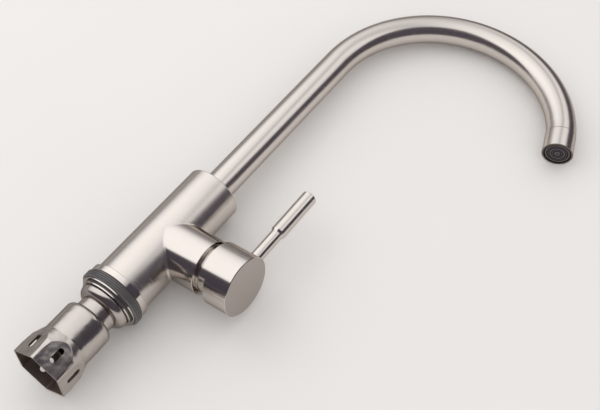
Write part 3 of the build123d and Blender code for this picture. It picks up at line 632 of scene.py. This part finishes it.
def spun_thread(low, high):
    """Helix of teeth that reaches past both heights."""
    mesh = bmesh.new()
    turns = math.ceil((high - low) / THREAD_PITCH) + 2
    start = low - THREAD_PITCH
    root = shank_radius - THREAD_DEPTH
    tooth = [(root, 0.0), (shank_radius, THREAD_CREST[0]), (shank_radius, THREAD_CREST[1]), (root, 1.0)]
    corners = [mesh.verts.new((radius, 0, start + part * THREAD_PITCH)) for radius, part in tooth]
    edges = [mesh.edges.new(pair) for pair in zip(corners, corners[1:])]
    bmesh.ops.spin(
        mesh,
        geom=corners + edges,
        cent=(0, 0, 0),
        axis=(0, 0, 1),
        dvec=(0, 0, THREAD_PITCH / THREAD_STEPS),
        angle=turns * math.tau,
        steps=turns * THREAD_STEPS,
        use_merge=False,
    )
    bmesh.ops.remove_doubles(mesh, verts=mesh.verts, dist=SMALL)
    return mesh


def threaded_tube(low, high):
    """Tube with a screw thread outside, between two heights."""
    mesh = spun_thread(low, high)
    for height, side in ((low, -1), (high, 1)):
        everything = mesh.verts[:] + mesh.edges[:] + mesh.faces[:]
        bmesh.ops.bisect_plane(
            mesh, geom=everything, plane_co=(0, 0, height), plane_no=(0, 0, side), clear_outer=True
        )
        rim = [edge for edge in mesh.edges if edge.is_boundary and abs(edge.verts[0].co.z - height) < SMALL]
        hole = bmesh.ops.create_circle(
            mesh, segments=THREAD_STEPS, radius=SHANK_BORE_RADIUS, matrix=Matrix.Translation((0, 0, height))
        )["verts"]
        hole_edges = {edge for vert in hole for edge in vert.link_edges}
        bmesh.ops.bridge_loops(mesh, edges=rim + list(hole_edges))
    bore = [edge for edge in mesh.edges if edge.is_boundary]
    bmesh.ops.bridge_loops(mesh, edges=bore)
    bmesh.ops.recalc_face_normals(mesh, faces=mesh.faces)
    return mesh


print("thread pitch in mm:", THREAD_PITCH * 1000)

# %% [markdown]
# ## The threaded shank in its place
# On the faucet the shank belongs to the column and hangs through the sink deck. The plain CAD tube could
# stay too, but its wall would fill the grooves of the thread, so the threaded piece stands for it and
# moves with the column.

# %% Threaded shank on the column


def add_piece(mesh, name, material):
    """Turn a bmesh into an object with one finish."""
    data = bpy.data.meshes.new(name)
    mesh.to_mesh(data)
    mesh.free()
    data.materials.append(material)
    piece = bpy.data.objects.new(name, data)
    scene.collection.objects.link(piece)
    return piece


thread = threaded_tube(shank_low.z, shank_high.z)
open_edges = sum(edge.is_boundary for edge in thread.edges)
shank = add_piece(thread, "threaded_shank", brass_upright)
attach(shank, "column")
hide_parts("mounting_shank")
print("threaded shank: faces", len(shank.data.polygons), "open edges", open_edges)

# %% [markdown]
# ## The table
# The faucet lies on a pale table, so the floor of this scene is the plane that its back rests on: it
# touches the foot, the top of the column and the outlet. Seen from behind, the table would hide the
# faucet, so its back side is made clear. Steel shows a table that is darker to the left and at the far
# end. A second table could be built for that, but rays that come from a mirror can be told apart, and
# only they see the shade.

# %% Table under the lying faucet
TABLE_NORMAL = Vector((0.103, -0.9943, -0.0279)).normalized()
TABLE_OFFSET = -0.027
TABLE_SIZE = 3.0
TABLE_COLOUR = (0.80, 0.785, 0.77, 1.0)
TABLE_TINT = (0.77, 0.757, 0.745, 1.0)
TABLE_ROUGHNESS = 0.7
TABLE_CLOUDS_PER_METRE = 6.0
TABLE_SHADE = (0.1, 0.09, 0.095, 1.0)
TABLE_FAR = Vector((0.22, 0.0, 0.97))
TABLE_END = (0.40, 0.62)
TABLE_LEFT = (0.01, 0.06)
TABLE_LEFT_SHARE = 0.55


def table_finish():
    material, graph = new_finish("pale_table")
    x, y, z = graph.place()
    cloud = graph.noise(graph.position(), TABLE_CLOUDS_PER_METRE, 2.0)
    paper = graph.blend(cloud, TABLE_TINT, TABLE_COLOUR)
    beyond = graph.ramp(graph.dot(graph.position(), TABLE_FAR), *TABLE_END)
    left = graph.ramp(x * -1.0, *TABLE_LEFT) * TABLE_LEFT_SHARE
    mirrored = graph.node("ShaderNodeLightPath", output="Is Glossy Ray")
    paper = graph.blend(beyond.math("MAXIMUM", left) * mirrored, paper, TABLE_SHADE)
    top = graph.node("ShaderNodeBsdfPrincipled", inputs={"Base Color": paper, "Roughness": TABLE_ROUGHNESS})
    clear = graph.node("ShaderNodeBsdfTransparent")
    behind = graph.node("ShaderNodeNewGeometry", output="Backfacing")
    mixed = graph.node("ShaderNodeMixShader", inputs={0: behind, 1: top, 2: clear})
    graph.node("ShaderNodeOutputMaterial", inputs={"Surface": mixed})
    return material


def add_plane(name, half_size, place, material):
    """Flat square of the stage, with its place in its mesh."""
    mesh = bmesh.new()
    bmesh.ops.create_grid(mesh, x_segments=1, y_segments=1, size=half_size)
    bmesh.ops.transform(mesh, matrix=place, verts=mesh.verts)
    plane = add_piece(mesh, name, material)
    plane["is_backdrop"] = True
    return plane


table_turn = TABLE_NORMAL.to_track_quat("Z", "Y").to_matrix().to_4x4()
table_place = Matrix.Translation(TABLE_NORMAL * TABLE_OFFSET) @ table_turn
table = add_plane("table", TABLE_SIZE / 2, table_place, table_finish())
print("table normal:", [round(value, 3) for value in table.data.polygons[0].normal])

# %% [markdown]
# ## The camera
# The camera stands over the foot of the faucet and looks along it, as in the photograph. Its place could
# be found by eye, but the outlines of the tubes are known, so it was found by fitting them to the
# picture.

# %% Camera
CAMERA_PLACE = Vector((0.4048, -0.5986, -0.2286))
CAMERA_RIGHT = Vector((0.80804, 0.08792, 0.58253))
CAMERA_DOWN = Vector((0.40217, 0.64025, -0.65448))
LENS = 60.0
SENSOR = 36.0


def add_camera():
    data = bpy.data.cameras.new("camera")
    data.lens = LENS
    data.sensor_width = SENSOR
    camera = bpy.data.objects.new("camera", data)
    scene.collection.objects.link(camera)
    back = CAMERA_DOWN.cross(CAMERA_RIGHT).normalized()
    turn = Matrix((CAMERA_RIGHT, -CAMERA_DOWN, back)).transposed().to_4x4()
    camera.matrix_world = Matrix.Translation(CAMERA_PLACE) @ turn
    scene.camera = camera
    return back


camera_back = add_camera()
print("camera looks along:", [round(-value, 3) for value in camera_back])

# %% [markdown]
# ## The room
# Steel shows its surroundings more than its own colour, so the room matters as much as the finish. In
# the photograph the side of the camera is dark, and the far side is a dim grey. Walls could be built,
# but a world shader can tell mirrored rays from the others: they see that room, while the table gets an
# even fill that keeps its shadows light.

# %% Room seen in the steel
table_right = (CAMERA_RIGHT - TABLE_NORMAL * CAMERA_RIGHT.dot(TABLE_NORMAL)).normalized()
table_away = TABLE_NORMAL.cross(table_right)
ROOM_LEAN = (-0.6, 0.8, 0.0)
ROOM_BLUR = (-0.1, 0.7)
ROOM_DARK = (0.07, 0.06, 0.08, 1.0)
ROOM_FAR = (0.30, 0.29, 0.28, 1.0)
ROOM_FILL = (1.0, 0.98, 0.967, 1.0)
BACKDROP = (0.82, 0.81, 0.80, 1.0)


def studio_direction(right, away, up):
    """Direction in the scene from its parts along the table and above it."""
    return (table_right * right + table_away * away + TABLE_NORMAL * up).normalized()


def light_room():
    world = bpy.data.worlds.new("studio")
    scene.world = world
    world.use_nodes = True
    graph = Graph(world.node_tree)
    direction = graph.node("ShaderNodeTexCoord", output="Generated")
    far = graph.ramp(graph.dot(direction, studio_direction(*ROOM_LEAN)), *ROOM_BLUR)
    room = graph.blend(far, ROOM_DARK, ROOM_FAR)
    mirrored = graph.node("ShaderNodeLightPath", output="Is Glossy Ray")
    seen = graph.node("ShaderNodeLightPath", output="Is Camera Ray")
    colour = graph.blend(seen, graph.blend(mirrored, ROOM_FILL, room), BACKDROP)
    background = graph.node("ShaderNodeBackground", inputs={"Color": colour})
    graph.node("ShaderNodeOutputWorld", inputs={"Surface": background})


light_room()
scene.view_settings.view_transform = "Standard"
print("room fill:", ROOM_FILL[:3])

# %% [markdown]
# ## The light sheet
# A large soft light hangs over the table, and its near edge makes the dark band along every tube. A
# bright sky could stand for it, but this light hangs close: the tubes nearer to its edge show more of
# the dark room. So it is a real sheet, with one corner toward the camera and a dim seam where its two
# halves meet. It is brightest over the column and fades to the sides and the far end. Only mirrored rays
# meet it.

# %% Light on the sheet
SHEET_MIDDLE = Vector((0.1, 0.0, 0.2))
SHEET_COLOUR = (1.4, 1.4, 1.4, 1.0)
SHEET_CORNER = (-0.5, -0.3)
SHEET_SKEW = 0.2
SHEET_EDGE = 0.06
SEAM_PLACE = 0.3
SEAM_WIDTH = 0.2
SEAM_LOSS = 0.42
MIDDLE_FALL = (-0.4, 0.2)
MIDDLE_LOSS = 0.22
RIGHT_FALL = (0.9, 1.5)
LEFT_FALL = (0.8, 3.0)
LEFT_LOSS = 0.45
FAR_FALL = (0.4, 3.0)
FAR_LOSS = 0.6


def sheet_finish():
    material, graph = new_finish("light_sheet")
    right = graph.dot(graph.position(), table_right) - SHEET_MIDDLE.dot(table_right)
    away = graph.dot(graph.position(), table_away) - SHEET_MIDDLE.dot(table_away)
    aside = (right - SHEET_CORNER[0]).math("ABSOLUTE") * SHEET_SKEW
    lit = graph.ramp(away - aside, SHEET_CORNER[1] - SHEET_EDGE, SHEET_CORNER[1] + SHEET_EDGE)
    lit = lit * (1 - graph.ramp(right, *MIDDLE_FALL) * MIDDLE_LOSS)
    lit = lit * (1 - graph.ramp(right, *RIGHT_FALL))
    lit = lit * (1 - graph.ramp(right * -1.0, *LEFT_FALL) * LEFT_LOSS)
    lit = lit * (1 - graph.ramp(away, *FAR_FALL) * FAR_LOSS)
    seam = 1 - graph.ramp((right - SEAM_PLACE).math("ABSOLUTE"), 0.0, SEAM_WIDTH)
    lit = lit * (1 - seam * SEAM_LOSS)
    glow = graph.node("ShaderNodeEmission", inputs={"Color": graph.blend(lit, ROOM_DARK, SHEET_COLOUR)})
    graph.node("ShaderNodeOutputMaterial", inputs={"Surface": glow})
    return material


print("corner of the sheet, right and away (m):", SHEET_CORNER)

# %% [markdown]
# ## Hanging the sheet
# In a studio the sheet would hang from a boom. Here it is one square, parallel to the table and far
# wider than the faucet. It could be an area lamp, but a mesh wears its pattern of light like any other
# finish. It is hidden from the camera, from matt surfaces and from shadows.

# %% Sheet over the table
SHEET_HEIGHT = 0.7
SHEET_REACH = 8.0

sheet_turn = Matrix((table_right, table_away, TABLE_NORMAL)).transposed().to_4x4()
sheet_centre = SHEET_MIDDLE + TABLE_NORMAL * SHEET_HEIGHT
sheet = add_plane("light_sheet", SHEET_REACH, Matrix.Translation(sheet_centre) @ sheet_turn, sheet_finish())
sheet.visible_camera = False
sheet.visible_diffuse = False
sheet.visible_shadow = False
print("light sheet centre:", [round(value, 2) for value in sheet_centre])

# %% [markdown]
# ## A soft lamp
# One wide lamp at the upper left gives the shadows their side. It could be a sun, but the edges of its
# shadows would be hard, while a lamp that is wider than the faucet is tall keeps them soft, as in the
# photograph.

# %% Key lamp
LAMP_DISTANCE = 1.3
LAMP_SIZE = 0.7
LAMP_POWER = 1.3
LAMP_FROM = (-0.55, 0.45, 0.75)


def add_lamp():
    data = bpy.data.lights.new("soft_lamp", "AREA")
    data.shape = "DISK"
    data.size = LAMP_SIZE
    data.energy = LAMP_POWER
    lamp = bpy.data.objects.new("soft_lamp", data)
    lamp.visible_glossy = False
    scene.collection.objects.link(lamp)
    middle = (cad_box[0] + cad_box[1]) / 2
    toward = studio_direction(*LAMP_FROM)
    lamp.location = middle + toward * LAMP_DISTANCE
    lamp.rotation_mode = "QUATERNION"
    lamp.rotation_quaternion = toward.to_track_quat("Z", "Y")
    return lamp


print("lamp at:", [round(value, 2) for value in add_lamp().location])

# %% [markdown]
# Dressing a piece must not change its size. Each piece could be measured, but one box round the faucet
# is enough: the box of the dressed faucet is set beside the box that it came with.

# %% Compare the boxes and finish
dressed_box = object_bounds()
growth = (dressed_box[1] - dressed_box[0]) - (cad_box[1] - cad_box[0])
print("box grew by (m):", max(abs(part) for part in growth))
